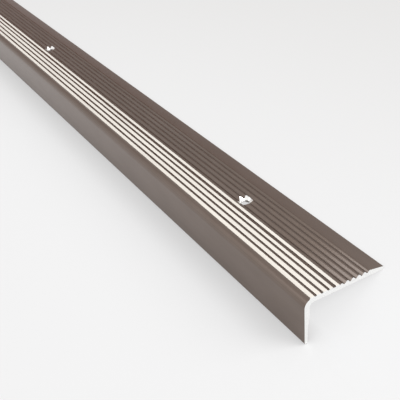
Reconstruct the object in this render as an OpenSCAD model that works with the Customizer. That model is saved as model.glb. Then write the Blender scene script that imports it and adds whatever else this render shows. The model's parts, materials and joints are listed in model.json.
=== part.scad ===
// Stair nosing: one length of extruded aluminium angle, anodised, with its tread ribs ground bright
// at the front. A ribbed tread plate runs back from a rounded nose to a thin back edge, and a front
// leg drops from the nose over the riser. Countersunk screw holes are drilled along the tread.
// The section is drawn as fitted to a step: y runs back from the leg's outer face, z up from its foot.
// The finished length lies as it rests unheld on a level floor, on the leg's foot and the back edge.

/* [Length] */
// Length that the profile is sawn to
profile_l = 1200; // [600:50:2500]

/* [Outline of the section] */
// Depth from the leg's outer face to the back edge
tread_d = 41; // [37:0.5:60]
// Height from the leg's foot to the bright rib tops
tops_h = 23; // [19:0.5:45]
// Thickness of the tread plate under its ribs
plate_t = 1.6; // [1.2:0.1:3]
// Thickness of the plate at its back edge
back_edge_t = 1.4; // [1:0.1:2]
// Thickness of the leg at its foot
foot_t = 1.5; // [1:0.1:2]
// Thickness of the leg where it joins the tread
leg_root_t = 2.5; // [2:0.1:3.5]
// Height up the leg at which it begins to thicken
thicken_from = 7.5; // [2:0.5:8]
// Height of leg over which it thickens
thicken_h = 5.5; // [2:0.5:6]
// Radius of the nose
nose_r = 4; // [3:0.1:5]
// Drop from the bright rib tops to the top of the nose
nose_drop = 0.5; // [0.3:0.05:0.8]
// Fillet inside the angle
inner_r = 2.2; // [1:0.1:3]

/* [Bright ribs] */
// Number of flat ribs that are ground bright
bright_n = 5; // [2:1:5]
// Distance from the leg's outer face to the first bright rib
bright_y = 2.9; // [2.5:0.1:4]
// Spacing of the bright ribs' front edges
bright_pitch = 3.25; // [3:0.05:3.6]
// Width of a bright rib's ground top
bright_w = 2.1; // [1.4:0.05:2.3]
// Number of bright ribs at the back that the wheel reached less
narrow_n = 2; // [0:1:2]
// Width of their ground tops
narrow_w = 1.7; // [1.2:0.05:2.2]
// Depth of the grooves between the bright ribs
groove_h = 0.4; // [0.3:0.05:0.6]
// Sideways run of each flank of a bright rib
flank_run = 0.15; // [0.05:0.05:0.25]
// Slope of the front flank that drops from the first bright rib to the nose
front_slope = 63; // [57:1:72]

/* [Round ribs] */
// Number of rounded ribs that keep their anodised finish
round_n = 5; // [2:1:5]
// Spacing of the rounded ribs
round_pitch = 3; // [2.6:0.05:3.1]
// Distance from the last bright rib's back edge to the first rounded crest
round_gap = 1.1; // [1:0.05:1.6]
// How far the rounded crests stand above the bright tops
crest_proud = 0.2; // [0:0.05:0.4]
// How much lower the first rounded crest is than the others
first_drop = 0.25; // [0:0.05:0.4]
// Radius of a rounded crest
crest_r = 0.65; // [0.3:0.05:0.8]
// Depth of the valleys between the rounded ribs below the bright tops
valley_h = 1; // [0.8:0.05:1.2]
// Width of the flat valley between two rounded ribs
valley_w = 0.3; // [0.1:0.05:0.5]
// Width of the flat valley in front of the back land
land_valley_w = 0.1; // [0.05:0.05:0.5]
// Drop from the rounded crests to the front edge of the back land
land_drop = 0.05; // [0:0.05:0.4]

/* [Screw holes] */
// Distance from each sawn end to the nearest hole
hole_end = 76.4; // [40:0.2:120]
// Longest spacing between two holes
hole_spacing_max = 265; // [150:5:400]
// Distance from the leg's outer face to the row of holes
hole_y = 22.15; // [16:0.05:28]
// Diameter of a screw hole
hole_d = 4.5; // [3.5:0.1:5]
// Diameter of a countersink at the level of the bright tops
sink_d = 7.4; // [7:0.1:9]
// Angle of the countersink
sink_angle = 90; // [80:1:100]

/* [Hidden] */
$fn = 96;
anodised_bronze = "#71655f";

// Extra reach of a cutting shape past the face that it cuts
cut_past = 1;

// Levels of the section
groove_z = tops_h - groove_h;
valley_z = tops_h - valley_h;
under_z = valley_z - plate_t;
nose_z = tops_h - nose_drop;
crest_z = tops_h + crest_proud;
land_z = crest_z - land_drop;
back_edge_z = under_z + back_edge_t;

// Rows of ribs
function top_w(i) = i < bright_n - narrow_n ? bright_w : narrow_w;
function bright_at(i) = bright_y + bright_pitch * i;
bright_end = bright_at(bright_n - 1) + top_w(bright_n - 1);
round_half = (round_pitch - valley_w) / 2;
function round_at(i) = bright_end + round_gap + round_pitch * i;

// The first bright rib's front flank runs on down into the plate, past the surface of the nose
front_foot_z = under_z + plate_t / 2;
front_foot = [-(tops_h - front_foot_z) / tan(front_slope), front_foot_z];

// A rounded rib of height h: its flank runs from its foot on the plate to just inside its crest circle
flank_inset = 0.03;
flank_reach = crest_r * (1 - flank_inset);
function round_h(i) = crest_z - valley_z - (i == 0 ? first_drop : 0);
function flank_angle(h) =
    atan2(h - crest_r, round_half) + asin(flank_reach / norm([round_half, h - crest_r]));
function flank_end(h) = [
    flank_reach * sin(flank_angle(h)),
    h - crest_r + flank_reach * cos(flank_angle(h))
];

// The back land starts behind the last valley with a flank of the same slope as the rib before it
land_foot_y = round_at(round_n - 1) + round_half + land_valley_w;
land_y = land_foot_y + (land_z - valley_z) / tan(flank_angle(round_h(round_n - 1)));

// Screw holes
hole_run = profile_l - 2 * hole_end;
hole_n = ceil(hole_run / hole_spacing_max) + 1;
hole_step = hole_run / (hole_n - 1);
sink_h = (sink_d - hole_d) / 2 / tan(sink_angle / 2);

// Unheld, the angle tips back until its back edge meets the floor
rest_tilt = atan2(under_z, tread_d - foot_t);
rest_d = tread_d * cos(rest_tilt) + back_edge_z * sin(rest_tilt);
rest_lift = foot_t * sin(rest_tilt);

// Tread plate with the sloping back land, under the ribs
module plate_section() {
    polygon([
        [0, under_z],
        [tread_d, under_z],
        [tread_d, back_edge_z],
        [land_y, land_z],
        [land_foot_y, valley_z],
        [bright_end + flank_run, valley_z],
        [bright_end + flank_run, groove_z],
        [bright_y, groove_z],
        [bright_y, nose_z],
        [0, nose_z]
    ]);
}

// Front leg, thin at its foot
module leg_section() {
    polygon([
        [0, 0],
        [foot_t, 0],
        [foot_t, thicken_from],
        [leg_root_t, thicken_from + thicken_h],
        [leg_root_t, nose_z],
        [0, nose_z]
    ]);
}

// What the nose radius takes off the outer corner
module nose_corner() {
    difference() {
        translate([-cut_past, nose_z - nose_r])
            square([min(nose_r, bright_y) + cut_past, nose_r + cut_past]);
        translate([nose_r, nose_z - nose_r])
            circle(nose_r);
    }
}

// Fillet between the leg's inner face and the plate's underside
module inner_fillet() {
    difference() {
        translate([leg_root_t, under_z - inner_r])
            square(inner_r);
        translate([leg_root_t + inner_r, under_z - inner_r])
            circle(inner_r);
    }
}

// One flat rib with a ground top of width w, whose front flank comes up from foot
module bright_rib(w, foot) {
    polygon([
        foot,
        [w + flank_run, groove_z],
        [w, tops_h],
        [0, tops_h]
    ]);
}

// One rounded rib of height h: two flanks that end in a crest circle
module round_rib(h) {
    flank_top = flank_end(h);
    translate([0, valley_z]) {
        polygon([
            [-round_half, 0],
            [round_half, 0],
            flank_top,
            [-flank_top.x, flank_top.y]
        ]);
        translate([0, h - crest_r])
            circle(crest_r);
    }
}

module section() {
    difference() {
        union() {
            plate_section();
            leg_section();
        }
        nose_corner();
    }
    inner_fillet();
    for (i = [0 : bright_n - 1])
        translate([bright_at(i), 0])
            bright_rib(top_w(i), i == 0 ? front_foot : [-flank_run, groove_z]);
    for (i = [0 : round_n - 1])
        translate([round_at(i), 0])
            round_rib(round_h(i));
}

// One screw hole with its countersink, drilled from the top
module screw_hole() {
    sink_z = tops_h - sink_h;
    widen = cut_past * tan(sink_angle / 2);
    translate([0, 0, under_z - cut_past])
        cylinder(h = sink_z - under_z + 2 * cut_past, d = hole_d);
    translate([0, 0, sink_z])
        cylinder(h = sink_h + cut_past, d1 = hole_d, d2 = sink_d + 2 * widen);
}

// Turns the profile from the way it is fitted to the way it lies unheld, middle over the origin
module at_rest() {
    translate([0, -rest_d / 2, rest_lift])
        rotate([-rest_tilt, 0, 0])
            children();
}

module nosing_profile() {
    color(anodised_bronze)
        at_rest()
            difference() {
                rotate([90, 0, 90])
                    linear_extrude(height = profile_l, center = true)
                        section();
                for (i = [0 : hole_n - 1])
                    translate([-hole_run / 2 + hole_step * i, hole_y, 0])
                        screw_hole();
            }
}

nosing_profile();
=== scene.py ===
import json
import math

import bmesh
import bpy
from mathutils import Matrix, Vector


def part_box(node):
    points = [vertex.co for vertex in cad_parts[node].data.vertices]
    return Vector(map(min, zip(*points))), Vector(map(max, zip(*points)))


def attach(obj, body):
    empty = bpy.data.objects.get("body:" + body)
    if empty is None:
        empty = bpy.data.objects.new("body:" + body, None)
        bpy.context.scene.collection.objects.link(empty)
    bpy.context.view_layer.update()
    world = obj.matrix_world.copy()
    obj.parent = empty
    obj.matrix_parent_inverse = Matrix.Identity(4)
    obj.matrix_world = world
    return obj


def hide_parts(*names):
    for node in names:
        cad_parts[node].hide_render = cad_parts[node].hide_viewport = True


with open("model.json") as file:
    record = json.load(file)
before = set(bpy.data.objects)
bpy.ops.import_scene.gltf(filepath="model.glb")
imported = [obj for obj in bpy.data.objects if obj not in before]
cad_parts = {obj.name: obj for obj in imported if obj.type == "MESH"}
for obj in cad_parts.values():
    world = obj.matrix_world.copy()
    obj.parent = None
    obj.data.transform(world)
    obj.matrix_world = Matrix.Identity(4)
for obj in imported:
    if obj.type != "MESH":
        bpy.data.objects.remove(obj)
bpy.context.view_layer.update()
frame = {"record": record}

# The profile is the whole part: one length of extruded aluminium angle. A ribbed tread plate runs back
# from a rounded nose to a thin back edge, and a short leg drops from the nose over the front of the step.
# Its section is drawn as it sits on a step: y back from the leg's outer face, z up from the leg's foot.
mm = 0.001
low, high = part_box("nosing_profile")
tread_d = 41 * mm
tops_z = 23 * mm
groove_z = 22.6 * mm
valley_z = 22 * mm
under_z = 20.4 * mm
nose_z = 22.5 * mm
nose_r = 4 * mm
foot_t = 1.5 * mm
leg_root_t = 2.5 * mm
foot_edge_r = 0.15 * mm
thicken_z = (7.5 * mm, 13 * mm)
leg_bend_reach = 1.6 * mm
inner_r = 2.2 * mm
back_edge_z = 21.8 * mm
back_top_r = 0.25 * mm
back_foot_r = 0.15 * mm

bright_y = 2.9 * mm
bright_pitch = 3.25 * mm
bright_widths = [2.1 * mm] * 3 + [1.7 * mm] * 2
top_edge_r = 0.05 * mm
flank_run = 0.15 * mm
front_run = 0.4 * mm
groove_corner_r = 0.1 * mm

round_y = 18.7 * mm
round_pitch = 3 * mm
round_half = 1.35 * mm
round_heights = [0.95 * mm] + [1.2 * mm] * 4
crest_r = 0.65 * mm
valley_r = 0.45 * mm
land_foot_y = 32.15 * mm
land_front = (33.16 * mm, 23.15 * mm)
land_front_r = 0.45 * mm

bore_mounts = [m for m in frame["record"]["mounts"] if m["kind"] == "bore"]
drill_axis = bore_mounts[0]["axis"]
rest_tilt = math.atan2(drill_axis[1], drill_axis[2])
section_origin = Vector((0, low.y, foot_t * math.sin(rest_tilt)))
at_rest = Matrix.Translation(section_origin) @ Matrix.Rotation(-rest_tilt, 4, "X")

shape = bmesh.new()


def corner(y, z):
    return shape.verts.new((low.x, y, z))


foot_corners = [corner(0, 0)]
nose_middle = (low.x, nose_r, nose_z - nose_r)
nose_start = corner(0, nose_z - nose_r)
nose_turn = math.acos((nose_r - bright_y + front_run) / nose_r)
bmesh.ops.spin(shape, geom=[nose_start], cent=nose_middle, axis=(1, 0, 0), angle=-nose_turn, steps=24)

top_corners = []
groove_corners = []
for i, width in enumerate(bright_widths):
    front = bright_y + bright_pitch * i
    back = front + width
    if i > 0:
        groove_corners.append(corner(front - flank_run, groove_z))
    top_corners.append(corner(front, tops_z))
    top_corners.append(corner(back, tops_z))
    groove_corners.append(corner(back + flank_run, groove_z))
bright_end = back + flank_run


def rib_slope(height):
    """Slope of a flank that runs from the rib's foot to touch its crest circle."""
    rise = height - crest_r
    return math.atan2(rise, round_half) + math.asin(crest_r / math.hypot(round_half, rise))


crests = []
valleys = []
foot_y = bright_end
foot_z = valley_z + (bright_end - round_y + round_half) * math.tan(rib_slope(round_heights[0]))
groove_corners.append(corner(foot_y, foot_z))
for i, height in enumerate(round_heights):
    crest_y = round_y + round_pitch * i
    steepness = math.tan(rib_slope(height))
    crests.append((corner(crest_y, valley_z + round_half * steepness), crest_r * steepness))
    next_foot_y = min(crest_y + round_pitch - round_half, land_foot_y)
    middle = (crest_y + round_half + next_foot_y) / 2
    valley_drop = (middle - crest_y - round_half) * steepness
    valleys.append((corner(middle, valley_z - valley_drop), valley_r * steepness))

land_corner = corner(*land_front)
back_top = corner(tread_d, back_edge_z)
back_foot = corner(tread_d, under_z)
inner_corner = corner(leg_root_t, under_z)
leg_corners = [corner(leg_root_t, thicken_z[1]), corner(foot_t, thicken_z[0])]
foot_corners.append(corner(foot_t, 0))
shape.faces.new(shape.verts[:])


def round_off(corners, reach, segments):
    bmesh.ops.bevel(shape, geom=corners, offset=reach, offset_type="OFFSET", segments=segments,
                    profile=0.5, affect="VERTICES", material=-1)


for turn, reach in crests + valleys:
    round_off([turn], reach, 12)
round_off([inner_corner], inner_r, 10)
round_off(leg_corners, leg_bend_reach, 4)
round_off([land_corner], land_front_r, 6)
round_off([back_top], back_top_r, 4)
round_off([back_foot], back_foot_r, 3)
round_off(foot_corners, foot_edge_r, 3)
round_off(groove_corners, groove_corner_r, 3)
round_off(top_corners, top_edge_r, 2)

grown = bmesh.ops.extrude_face_region(shape, geom=shape.faces[:])["geom"]
far_verts = [v for v in grown if isinstance(v, bmesh.types.BMVert)]
bmesh.ops.translate(shape, verts=far_verts, vec=(high.x - low.x, 0, 0))
bmesh.ops.recalc_face_normals(shape, faces=shape.faces[:])

# Short stretches round the holes keep the long faces clean where the holes are cut out of them.
hole_xs = [m["pos_m"][0] for m in bore_mounts]
hole_margin = 7 * mm
stretches = [x + side * hole_margin for x in hole_xs for side in (-1, 1)]
stretches += [(a + b) / 2 for a, b in zip(hole_xs, hole_xs[1:])]
for x in stretches:
    bmesh.ops.bisect_plane(shape, geom=shape.verts[:] + shape.edges[:] + shape.faces[:], dist=1e-7,
                           plane_co=(x, 0, 0), plane_no=(1, 0, 0))

# Which finish each face has: the nose's rounded edge, where it faces front and up, gets a rougher bronze
# painted paler as a painted sheen, the rib tops are ground after anodising, and the ends are sawn last.
ANODISED, SATIN_PAINTED_SHEEN, GROUND, SAWN, DRILLED = range(5)
for face in shape.faces:
    middle = face.calc_center_median()
    if abs(face.normal.x) > 0.9:
        face.material_index = SAWN
    elif middle.y < bright_y - front_run and face.normal.y < -0.1 and face.normal.z > 0.5:
        face.material_index = SATIN_PAINTED_SHEEN
    elif face.normal.z > 0.99 and middle.y < bright_end and abs(middle.z - tops_z) < 0.01 * mm:
        face.material_index = GROUND

bmesh.ops.transform(shape, matrix=at_rest, verts=shape.verts[:])
profile_mesh = bpy.data.meshes.new("nosing")
shape.to_mesh(profile_mesh)
shape.free()
profile = bpy.data.objects.new("nosing", profile_mesh)
bpy.context.scene.collection.objects.link(profile)

# Bronze anodising covers the extrusion: a thin coloured oxide over satin etched aluminium. It shows fine
# lines from the die along the length, and a slight clouding where the dye took unevenly. The nose's
# rounded edge has a duller, rougher bronze, painted a little paler as a painted sheen for the light that
# falls on it.


def new_finish(name):
    material = bpy.data.materials.new(name)
    material.use_nodes = True
    return material, material.node_tree, material.node_tree.nodes["Principled BSDF"]


def section_place(tree):
    """Place on the profile in its section's own axes, from Object coordinates."""
    coordinates = tree.nodes.new("ShaderNodeTexCoord")
    turned = tree.nodes.new("ShaderNodeMapping")
    turned.vector_type = "TEXTURE"
    turned.inputs["Location"].default_value = section_origin
    turned.inputs["Rotation"].default_value = (-rest_tilt, 0, 0)
    tree.links.new(coordinates.outputs["Object"], turned.inputs["Vector"])
    return turned.outputs["Vector"]


def with_vector(tree, operation, place, fixed):
    """Works on a place with a fixed vector, and gives the node's outputs."""
    node = tree.nodes.new("ShaderNodeVectorMath")
    node.operation = operation
    node.inputs[1].default_value = fixed
    tree.links.new(place, node.inputs[0])
    return node.outputs


def streaks(tree, place, scale, detail):
    """Noise drawn out along one axis: scale gives how many times a metre it repeats each way."""
    noise = tree.nodes.new("ShaderNodeTexNoise")
    noise.inputs["Scale"].default_value = 1
    noise.inputs["Detail"].default_value = detail
    tree.links.new(with_vector(tree, "MULTIPLY", place, scale)["Vector"], noise.inputs["Vector"])
    return noise.outputs["Fac"]


def between(tree, amount, low_value, high_value, spread=(0.3, 0.7)):
    """Carries an amount over to a range of numbers."""
    ranged = tree.nodes.new("ShaderNodeMapRange")
    ranged.inputs["From Min"].default_value = spread[0]
    ranged.inputs["From Max"].default_value = spread[1]
    ranged.inputs["To Min"].default_value = low_value
    ranged.inputs["To Max"].default_value = high_value
    tree.links.new(amount, ranged.inputs["Value"])
    return ranged.outputs["Result"]


def colours(tree, amount, first, second):
    """Mixes two colours by an amount. The first may come from another node."""
    mix = tree.nodes.new("ShaderNodeMix")
    mix.data_type = "RGBA"
    if isinstance(first, bpy.types.NodeSocket):
        tree.links.new(first, mix.inputs[6])
    else:
        mix.inputs[6].default_value = (*first, 1)
    mix.inputs[7].default_value = (*second, 1)
    tree.links.new(amount, mix.inputs[0])
    return mix.outputs[2]


def relief(tree, height, depth, strength, shader):
    bump = tree.nodes.new("ShaderNodeBump")
    bump.inputs["Strength"].default_value = strength
    bump.inputs["Distance"].default_value = depth
    tree.links.new(height, bump.inputs["Height"])
    tree.links.new(bump.outputs["Normal"], shader.inputs["Normal"])


def bronze(name, coat_roughness, roughness, dark, light):
    finish, tree, shader = new_finish(name)
    place = section_place(tree)
    die_lines = streaks(tree, place, (5, 2600, 2600), 3)
    clouding = streaks(tree, place, (40, 120, 120), 4)
    shader.inputs["Metallic"].default_value = 1
    shader.inputs["Specular Tint"].default_value = (0.5, 0.42, 0.38, 1)
    shader.inputs["Coat Weight"].default_value = 1
    shader.inputs["Coat Roughness"].default_value = coat_roughness
    cloud_amount = between(tree, clouding, 0, 1)
    tree.links.new(colours(tree, cloud_amount, dark, light), shader.inputs["Base Color"])
    tree.links.new(between(tree, die_lines, *roughness), shader.inputs["Roughness"])
    relief(tree, die_lines, 0.01 * mm, 0.4, shader)
    return finish


anodised = bronze("anodised_bronze", 0.15, (0.3, 0.38), (0.125, 0.088, 0.067), (0.147, 0.107, 0.085))
# The nose's bronze is rougher and painted paler than the rest: the paler colour is a painted sheen.
satin_painted_sheen = bronze("satin_bronze_painted_sheen", 0.35, (0.46, 0.54), (0.137, 0.097, 0.074), (0.161, 0.117, 0.093))

# The five front ribs are ground flat after anodising, which bares bright aluminium on their tops. The
# wheel runs along the length and leaves fine straight scratches.
ground, tree, shader = new_finish("ground_rib_tops")
place = section_place(tree)
scratches = streaks(tree, place, (12, 5200, 5200), 3)
passes = streaks(tree, place, (14, 300, 300), 2)
shader.inputs["Metallic"].default_value = 1
scratch_amount = between(tree, scratches, 0, 1)
tree.links.new(colours(tree, scratch_amount, (0.745, 0.715, 0.668), (0.795, 0.77, 0.725)),
               shader.inputs["Base Color"])
tree.links.new(between(tree, passes, 0.72, 0.84), shader.inputs["Roughness"])
relief(tree, scratches, 0.008 * mm, 0.5, shader)

# Both ends are sawn square across after anodising and left bare. They are pale aluminium, with the fine
# marks that the saw leaves across them.
sawn, tree, shader = new_finish("sawn_ends")
place = section_place(tree)
saw_marks = streaks(tree, place, (0, 260, 3400), 3)
shader.inputs["Metallic"].default_value = 1
saw_amount = between(tree, saw_marks, 0, 1)
tree.links.new(colours(tree, saw_amount, (0.9, 0.9, 0.89), (0.97, 0.97, 0.96)),
               shader.inputs["Base Color"])
tree.links.new(between(tree, saw_marks, 0.36, 0.5), shader.inputs["Roughness"])
relief(tree, saw_marks, 0.02 * mm, 0.5, shader)

# Countersunk holes take the screws that fix the profile to the step. They are drilled and turned after
# anodising, so their walls are bare aluminium with the rings that the tool leaves.
hole_y = 22.15 * mm
hole_r = 2.25 * mm
sink_r = 3.7 * mm
sink_z = tops_z - (sink_r - hole_r)
ring_pitch = 0.28 * mm
past = 1 * mm

drill = bmesh.new()
outline = [(0, under_z - past), (hole_r, under_z - past), (hole_r, sink_z),
           (sink_r + past, tops_z + past), (0, tops_z + past)]
drill_verts = [drill.verts.new((r, 0, z)) for r, z in outline]
drill_edges = [drill.edges.new(pair) for pair in zip(drill_verts, drill_verts[1:])]
bmesh.ops.spin(drill, geom=drill_verts + drill_edges, cent=(0, 0, 0), axis=(0, 0, 1),
               angle=math.tau, steps=72, use_merge=True)
bmesh.ops.remove_doubles(drill, verts=drill.verts[:], dist=1e-6)
bmesh.ops.recalc_face_normals(drill, faces=drill.faces[:])
first_verts = drill.verts[:]
first_drill = first_verts + drill.edges[:] + drill.faces[:]
for x in hole_xs[1:]:
    copied = bmesh.ops.duplicate(drill, geom=first_drill)["geom"]
    moved = [v for v in copied if isinstance(v, bmesh.types.BMVert)]
    bmesh.ops.translate(drill, verts=moved, vec=(x, hole_y, 0))
bmesh.ops.translate(drill, verts=first_verts, vec=(hole_xs[0], hole_y, 0))
for face in drill.faces:
    face.material_index = DRILLED
bmesh.ops.transform(drill, matrix=at_rest, verts=drill.verts[:])
drill_mesh = bpy.data.meshes.new("drill")
drill.to_mesh(drill_mesh)
drill.free()
drill_tool = bpy.data.objects.new("drill", drill_mesh)
bpy.context.scene.collection.objects.link(drill_tool)


def number(tree, operation, *values):
    """Works on numbers, each of them a node's output or fixed."""
    node = tree.nodes.new("ShaderNodeMath")
    node.operation = operation
    for socket, value in zip(node.inputs, values):
        if isinstance(value, bpy.types.NodeSocket):
            tree.links.new(value, socket)
        else:
            socket.default_value = value
    return node.outputs["Value"]


def axes(tree, place):
    """Splits a place into its X, Y and Z."""
    parts = tree.nodes.new("ShaderNodeSeparateXYZ")
    tree.links.new(place, parts.inputs["Vector"])
    return parts.outputs


drilled, tree, shader = new_finish("drilled_walls")
place = axes(tree, section_place(tree))
hole_pitch = hole_xs[1] - hole_xs[0]
from_axis = tree.nodes.new("ShaderNodeCombineXYZ")
tree.links.new(number(tree, "WRAP", place["X"], hole_pitch / 2, -hole_pitch / 2), from_axis.inputs["X"])
tree.links.new(number(tree, "SUBTRACT", place["Y"], hole_y), from_axis.inputs["Y"])
radius = with_vector(tree, "DISTANCE", from_axis.outputs["Vector"], (0, 0, 0))["Value"]
rings = number(tree, "SINE", number(tree, "MULTIPLY", radius, math.tau / ring_pitch))
shader.inputs["Metallic"].default_value = 1
ring_amount = between(tree, rings, 0, 1, (-1, 1))
tree.links.new(colours(tree, ring_amount, (0.84, 0.83, 0.81), (0.93, 0.92, 0.9)),
               shader.inputs["Base Color"])
tree.links.new(between(tree, rings, 0.24, 0.34, (-1, 1)), shader.inputs["Roughness"])
relief(tree, rings, 0.006 * mm, 0.6, shader)

for finish in (anodised, satin_painted_sheen, ground, sawn, drilled):
    profile_mesh.materials.append(finish)
    drill_mesh.materials.append(finish)

# The drill's shape is cut out of the profile, and its finish stays on the walls.
cut = profile.modifiers.new("screw_holes", "BOOLEAN")
cut.operation = "DIFFERENCE"
cut.solver = "EXACT"
cut.object = drill_tool
drilled_profile = profile.evaluated_get(bpy.context.evaluated_depsgraph_get())
drilled_mesh = bpy.data.meshes.new_from_object(drilled_profile)
profile.modifiers.clear()
profile.data = drilled_mesh
bpy.data.objects.remove(drill_tool)
drilled_mesh.name = "nosing"
drilled_mesh.shade_smooth()
sharp_from = math.radians(28)
drilled_mesh.set_sharp_from_angle(angle=sharp_from)
even = profile.modifiers.new("even_shading", "WEIGHTED_NORMAL")
even.keep_sharp = True

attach(profile, "root")
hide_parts("nosing_profile")

# The floor is a plain pale studio sheet, near white to the camera and in the metal's gloss. It is painted
# a little darker to the back as painted shade, and fades into the backdrop far off. It keeps a soft
# shadow of the profile, painted deeper along the leg's foot and painted paler under the tread.
floor_half = 3
floor_mesh = bpy.data.meshes.new("floor")
sheet = bmesh.new()
bmesh.ops.create_grid(sheet, x_segments=1, y_segments=1, size=floor_half)
sheet.to_mesh(floor_mesh)
sheet.free()
floor = bpy.data.objects.new("floor", floor_mesh)
bpy.context.scene.collection.objects.link(floor)
pale, tree, shader = new_finish("pale_floor")
shader.inputs["Base Color"].default_value = (0.625, 0.625, 0.625, 1)
shader.inputs["Roughness"].default_value = 1
shader.inputs["Specular IOR Level"].default_value = 0
floor_place = tree.nodes.new("ShaderNodeTexCoord").outputs["Object"]
shown_middle = Vector((0.45, 0, 0))
away = with_vector(tree, "DISTANCE", floor_place, shown_middle)["Value"]

# Its own colour where it is seen: towards the front, towards the back, where it is darker as painted
# shade, and far off.
front_glow = (0.925, 0.925, 0.93)
back_shade_glow = (0.75, 0.74, 0.73)
far_glow = (0.87, 0.865, 0.86)
back_way = Vector((-0.2, 1, 0)).normalized()
dims_from, dims_to = -0.11, 0.09
fades_from, fades_to = 0.3, 1.2
backwards = with_vector(tree, "DOT_PRODUCT", floor_place, back_way)["Value"]
back_shade_amount = between(tree, backwards, 0, 1, (dims_from, dims_to))
far_amount = between(tree, away, 0, 1, (fades_from, fades_to))
dimmed = colours(tree, back_shade_amount, front_glow, back_shade_glow)
glow = tree.nodes.new("ShaderNodeEmission")
tree.links.new(colours(tree, far_amount, dimmed, far_glow), glow.inputs["Color"])

# The share of that colour: the less of it, the deeper the shadow. It is the same all over past the ends.
# The share is set by place: low along the leg's foot, a painted deeper shadow, and high under the tread,
# painted light in the shadow there.
front_share, foot_share, under_share = 0.5, 0.3, 0.75
front_reach, under_reach = 0.016, 0.01
ends_from, ends_to = high.x - 0.02, high.x + 0.1
shadow_from, shadow_to = 0.9, 2.4
floor_axes = axes(tree, floor_place)
to_foot = between(tree, floor_axes["Y"], front_share, foot_share, (low.y - front_reach, low.y))
past_foot = between(tree, floor_axes["Y"], 0, under_share - foot_share, (low.y, low.y + under_reach))
across_share = number(tree, "ADD", to_foot, past_foot)
past_ends = between(tree, number(tree, "ABSOLUTE", floor_axes["X"]), 0, 1, (ends_from, ends_to))
gain = number(tree, "SUBTRACT", under_share, across_share)
along_share = number(tree, "MULTIPLY_ADD", past_ends, gain, across_share)
shadow_fade = between(tree, away, 0, 1, (shadow_from, shadow_to))
rays = tree.nodes.new("ShaderNodeLightPath").outputs
seen = number(tree, "MAXIMUM", rays["Is Camera Ray"], rays["Is Glossy Ray"])
share = number(tree, "MULTIPLY", seen, number(tree, "MAXIMUM", along_share, shadow_fade))
mixed = tree.nodes.new("ShaderNodeMixShader")
tree.links.new(share, mixed.inputs["Fac"])
tree.links.new(shader.outputs["BSDF"], mixed.inputs[1])
tree.links.new(glow.outputs["Emission"], mixed.inputs[2])
tree.links.new(mixed.outputs["Shader"], tree.nodes["Material Output"].inputs["Surface"])
floor_mesh.materials.append(pale)

# Soft studio light: an even pale surround that is dimmer low down beyond the far end. A large soft lamp
# stands well behind and beyond the near end, and a small one hangs in front of the profile and lights
# the ribs' front flanks.
world = bpy.data.worlds.new("studio")
bpy.context.scene.world = world
world.use_nodes = True
tree = world.node_tree
surround = (1, 1, 1)
dim = (0.33, 0.21, 0.18)
dim_way = Vector((-0.95, 0.3, 0.05)).normalized()
dim_reach = (math.cos(math.radians(45)), math.cos(math.radians(10)))
looking = tree.nodes.new("ShaderNodeTexCoord").outputs["Generated"]
towards = with_vector(tree, "DOT_PRODUCT", looking, dim_way)["Value"]
light = colours(tree, between(tree, towards, 0, 1, dim_reach), surround, dim)
rays = tree.nodes.new("ShaderNodeLightPath").outputs
backdrop = colours(tree, rays["Is Camera Ray"], light, far_glow)
tree.links.new(backdrop, tree.nodes["Background"].inputs["Color"])

near_end = Vector((high.x, 0, 0))


def soft_lamp(name, place, size, watts):
    """A square lamp that faces the near end."""
    data = bpy.data.lights.new(name, "AREA")
    data.size = size
    data.energy = watts
    lamp = bpy.data.objects.new(name, data)
    lamp.location = place
    lamp.rotation_euler = (near_end - lamp.location).to_track_quat("-Z", "Y").to_euler()
    bpy.context.scene.collection.objects.link(lamp)


soft_lamp("key_lamp", (2.4, 2, 1.35), 1.4, 100)
soft_lamp("rib_lamp", (0.27, -0.24, 0.47), 0.12, 0.15)

# The camera stands in front of the near end and above it, at the photograph's viewing angle. It is
# rolled, because the profile lies tipped back and the photograph shows its leg upright.
camera_data = bpy.data.cameras.new("camera")
camera_data.sensor_width = 36
camera_data.lens = 68.95
camera_data.clip_start = 0.01
camera = bpy.data.objects.new("camera", camera_data)
camera.location = (0.789112, -0.047673, 0.262102)
camera.rotation_euler = [math.radians(a) for a in (42.5224, 27.5384, 55.2433)]
bpy.context.scene.collection.objects.link(camera)
bpy.context.scene.camera = camera
bpy.context.scene.view_settings.view_transform = "Standard"
